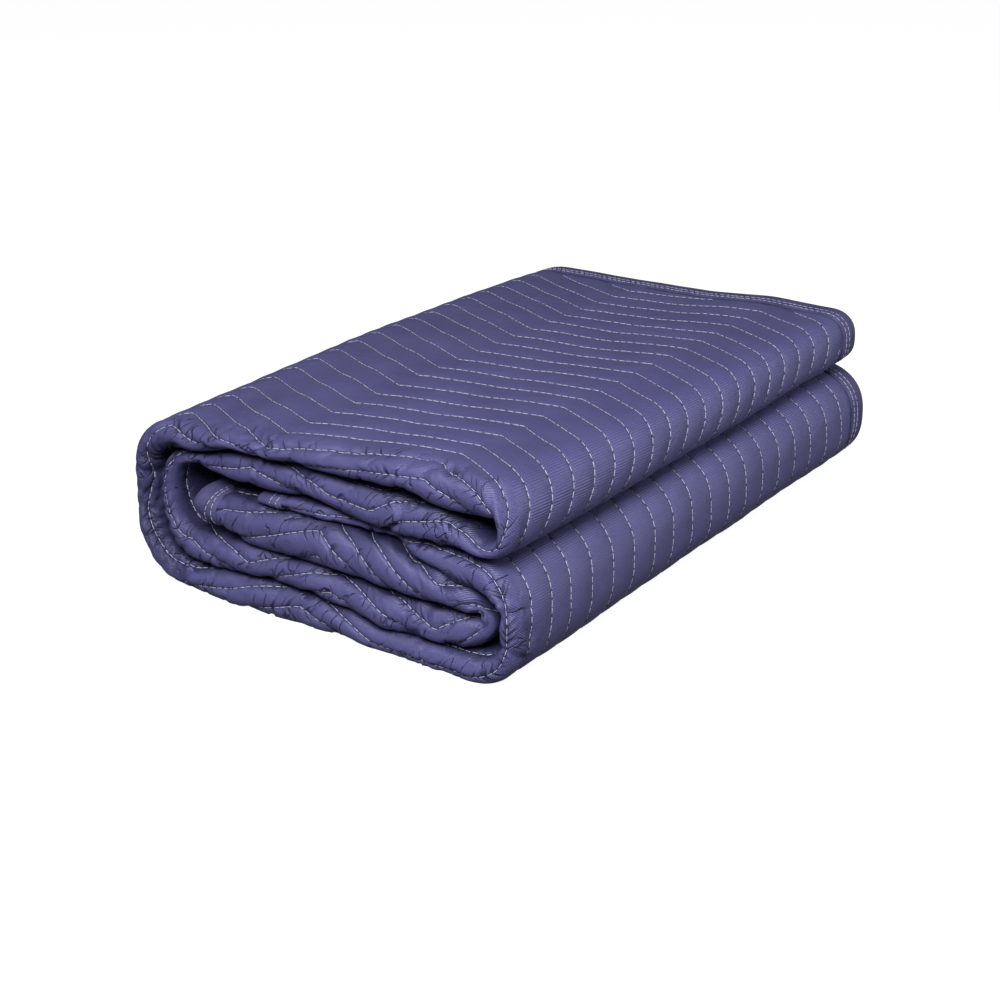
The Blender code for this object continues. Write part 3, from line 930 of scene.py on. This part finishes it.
def cloth_material():
    """Violet navy cloth with fine ribs across the strip, small creases and a soft satin sheen, with painted shade
    darkening its colour in the creases, beside the quilting lines and in the hollows between layers.
    """
    n = Nodes("quilt_cloth")
    along, across, row = n.attribute("cloth")
    along_face, nose, painted_shade_share = n.attribute("face")
    vector = n.stretched(along, across, 1.0, 1.0)
    position = n.new("ShaderNodeNewGeometry").outputs["Position"]
    patches = n.noise(position, 24.0, 3.0, 0.6)
    flecks = n.noise(vector, 0.8, 4.0, 0.75)
    tone = n.math("ADD", n.math("MULTIPLY", patches, 0.5), n.math("MULTIPLY", flecks, 0.5))
    colour = n.ramp(tone, ((0.32, (0.080, 0.076, 0.210)), (0.68, (0.120, 0.115, 0.290))))

    tilted = n.math("ADD", along_face, n.math("MULTIPLY", across, 0.04))
    ribs = n.math("SINE", n.math("MULTIPLY", tilted, 2 * math.pi / RIB_PITCH))
    ribs = n.math("MULTIPLY", ribs, n.range(nose, 0.0, 1.0, 1.0, 0.0))
    twill = n.math("ADD", along, n.math("MULTIPLY", across, 0.9))
    twill = n.math("SINE", n.math("MULTIPLY", twill, 2 * math.pi / RIB_PITCH))
    ribs = n.math("ADD", ribs, n.math("MULTIPLY", twill, nose))
    line = n.math("ROUND", row)
    from_line = n.math("ABSOLUTE", n.math("SUBTRACT", row, line))
    fan_at = n.stretched(n.math("ADD", along, n.math("MULTIPLY", from_line, 14.0)), line, 0.09, 3.7)
    fan = n.math("ABSOLUTE", n.math("SUBTRACT", n.noise(fan_at, 1.0, 1.0, 0.5), 0.5))
    vees = n.math("MULTIPLY", n.range(fan, 0.0, 0.03, 1.0, 0.0), n.range(from_line, 0.06, 0.48, 1.0, 0.0))
    some = n.range(n.noise(n.stretched(along, line, 0.036, 1.7), 1.0, 1.0, 0.5), 0.44, 0.56, 0.0, 1.0)
    vees = n.math("MULTIPLY", n.math("MULTIPLY", vees, some), n.range(nose, 0.0, 1.0, 0.12, 1.0))
    crease_at = n.stretched(n.math("ADD", along, n.math("MULTIPLY", across, 0.3)), across, 0.06, 0.02)
    crease = n.math("ABSOLUTE", n.math("SUBTRACT", n.noise(crease_at, 1.0, 2.0, 0.5), 0.5))
    patch = n.range(n.noise(n.stretched(along, across, 0.03, 0.05), 1.0, 1.0, 0.5), 0.45, 0.6, 0.0, 1.0)
    crease = n.math("MULTIPLY", n.math("MULTIPLY", n.range(crease, 0.0, 0.016, 1.0, 0.0), patch), nose)
    # Painted shade: the creases, the V puckers and a thin band beside each quilting line darken the colour where shade
    # falls; the same masks also sink the bump.
    crease_dent_and_shade = n.math("MAXIMUM", crease, vees)
    line_groove_and_shade = n.range(from_line, 0.015, 0.055, 1.0, 0.0)
    painted_shade_mix = n.math("MAXIMUM", n.math("MULTIPLY", crease_dent_and_shade, 0.8), n.math("MULTIPLY", line_groove_and_shade, 0.6))
    # Painted shade in the hollows between layers and on the inside of the spine turns, from the face attribute.
    painted_shade_mix = n.math("MAXIMUM", painted_shade_mix, n.math("MULTIPLY", painted_shade_share, 0.75))
    # Mixes the colour toward a near-black painted shade colour by the painted shade amount.
    shade = n.new("ShaderNodeMix", data_type="RGBA", blend_type="MIX")
    n.link(painted_shade_mix, shade.inputs["Factor"])
    # Rib stripes in the colour: partly the weave's own tone, partly painted shade of the ribs standing in for their
    # relief.
    rib_tone_and_shade = n.new("ShaderNodeMix", data_type="RGBA", blend_type="MULTIPLY")
    n.link(n.range(n.math("ADD", ribs, n.noise(vector, 0.7, 2.0, 0.6)), -0.6, 1.4, 0.38, 0.0), rib_tone_and_shade.inputs["Factor"])
    n.link(colour, rib_tone_and_shade.inputs[6])
    rib_tone_and_shade.inputs[7].default_value = (0.35, 0.35, 0.42, 1.0)
    n.link(rib_tone_and_shade.outputs[2], shade.inputs[6])
    shade.inputs[7].default_value = (0.018, 0.017, 0.05, 1.0)
    n.link(shade.outputs[2], n.shader.inputs["Base Color"])

    weave = n.math("ADD", ribs, n.math("MULTIPLY", n.noise(vector, 1.6, 2.0, 0.6), 1.2))
    crumple = n.noise(vector, 0.16, 5.0, 0.62)
    sunk = n.math("ADD", n.math("MULTIPLY", crease_dent_and_shade, -1.0), n.math("MULTIPLY", line_groove_and_shade, -0.6))
    normal = n.bump(sunk, 1.0, 0.0011)
    normal = n.bump(crumple, 0.3, 0.0035, normal)
    normal = n.bump(weave, 0.42, 0.0003, normal)
    n.link(normal, n.shader.inputs["Normal"])
    n.shader.inputs["Roughness"].default_value = 0.43
    n.shader.inputs["Specular IOR Level"].default_value = 0.5
    n.shader.inputs["Specular Tint"].default_value = (0.85, 0.87, 1.0, 1.0)
    return n.material


def tape_material():
    """Plain binding, darker and a little more purple than the cloth."""
    n = Nodes("binding_tape")
    position = n.new("ShaderNodeNewGeometry").outputs["Position"]
    tone = n.noise(position, 90.0, 4.0, 0.6)
    colour = n.ramp(tone, ((0.3, (0.052, 0.047, 0.128)), (0.7, (0.082, 0.076, 0.184))))
    n.link(colour, n.shader.inputs["Base Color"])
    weave = n.noise(position, 1300.0, 2.0, 0.5)
    n.link(n.bump(weave, 0.3, 0.0006), n.shader.inputs["Normal"])
    n.shader.inputs["Roughness"].default_value = 0.6
    n.shader.inputs["Specular IOR Level"].default_value = 0.3
    return n.material


def thread_material():
    n = Nodes("thread")
    position = n.new("ShaderNodeNewGeometry").outputs["Position"]
    tone = n.noise(position, 400.0, 2.0, 0.5)
    colour = n.ramp(tone, ((0.3, (0.36, 0.36, 0.52)), (0.7, (0.60, 0.61, 0.74))))
    n.link(colour, n.shader.inputs["Base Color"])
    n.shader.inputs["Roughness"].default_value = 0.5
    return n.material


def floor_material():
    n = Nodes("floor")
    n.shader.inputs["Base Color"].default_value = (0.25, 0.25, 0.25, 1.0)
    n.shader.inputs["Roughness"].default_value = 1.0
    n.shader.inputs["Specular IOR Level"].default_value = 0.0
    n.shader.inputs["Emission Color"].default_value = (1.0, 1.0, 1.0, 1.0)
    n.shader.inputs["Emission Strength"].default_value = 0.94
    return n.material


def add_floor():
    """A pale floor that curves up into a round backdrop."""
    sides = 64
    corners = []
    for radius, height in FLOOR_PROFILE:
        for k in range(sides):
            angle = 2 * math.pi * k / sides
            corners.append((radius * math.cos(angle), radius * math.sin(angle), height))
    faces = [tuple(range(sides))]
    for ring in range(len(FLOOR_PROFILE) - 1):
        low = ring * sides
        for k in range(sides):
            nxt = (k + 1) % sides
            faces.append((low + k, low + sides + k, low + sides + nxt, low + nxt))
    mesh = bpy.data.meshes.new("floor")
    mesh.from_pydata(corners, [], faces)
    mesh.shade_smooth()
    mesh.materials.append(floor_material())
    floor = bpy.data.objects.new("floor", mesh)
    floor.visible_diffuse = False
    floor.visible_glossy = False
    bpy.context.scene.collection.objects.link(floor)


def add_lights():
    world = bpy.data.worlds.new("studio")
    world.use_nodes = True
    background = world.node_tree.nodes["Background"]
    background.inputs["Color"].default_value = (1.0, 1.0, 1.0, 1.0)
    background.inputs["Strength"].default_value = 0.125
    bpy.context.scene.world = world
    bpy.context.scene.view_settings.view_transform = "Standard"
    for name, power, size, place in SOFT_BOXES:
        box = bpy.data.lights.new(name, "AREA")
        box.shape = "DISK"
        box.size = size
        box.energy = power
        light = bpy.data.objects.new(name, box)
        light.location = place
        light.rotation_euler = (LIT_POINT - Vector(place)).to_track_quat("-Z", "Y").to_euler()
        bpy.context.scene.collection.objects.link(light)


def add_camera():
    """Camera worked out from the blanket's edges in the photograph."""
    azimuth = math.radians(35.5476)
    pitch = math.radians(22.328)
    roll = math.radians(-0.691)
    forward = Vector((-math.sin(azimuth) * math.cos(pitch), math.cos(azimuth) * math.cos(pitch), -math.sin(pitch)))
    level = Vector((math.cos(azimuth), math.sin(azimuth), 0.0))
    above = level.cross(forward)
    right = level * math.cos(roll) + above * math.sin(roll)
    up = right.cross(forward)
    data = bpy.data.cameras.new("camera")
    data.sensor_width = 36.0
    data.lens = 66.25
    data.clip_start = 0.01
    data.clip_end = 50.0
    camera = bpy.data.objects.new("camera", data)
    place = Matrix((right, up, -forward)).transposed().to_4x4()
    place.translation = Vector((0.75040, -1.07749, 0.55066))
    camera.matrix_world = place
    bpy.context.scene.collection.objects.link(camera)
    bpy.context.scene.camera = camera


def main():
    strip = Strip()
    cloth = cloth_material()
    tape = tape_material()
    thread = thread_material()

    points, attributes, faces = quilt_mesh(strip)
    quilt = add_piece("quilt_cloth", points, faces, cloth, attributes)
    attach(quilt, "root")
    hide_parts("quilt")

    hem_store = {"points": [], "faces": [], "count": 0}
    names = ("binding_outer_ply", "binding_inner_ply")
    made = [(name, edge_tape(strip, ply)) for ply, name in enumerate(names)]
    made += [("binding_end_upper", end_tape(strip, True)), ("binding_end_lower", end_tape(strip, False))]
    for name, (tape_points, tape_faces, paths) in made:
        piece = add_piece(name + "_tape", tape_points, tape_faces, tape)
        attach(piece, "root")
        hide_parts(name)
        for number, (path, normals) in enumerate(paths):
            dashes(path, normals, HEM_STITCH_PITCH, HEM_STITCH_LENGTH, THREAD * 0.9, 1.0 + number, hem_store)
    stitches = (
        ("quilting_thread", quilting_thread(strip)),
        ("binding_thread", (np.concatenate(hem_store["points"]), hem_store["faces"])),
    )
    for name, (stitch_points, stitch_faces) in stitches:
        piece = add_piece(name, stitch_points, stitch_faces, thread)
        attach(piece, "root")


main()
add_floor()
add_lights()
add_camera()
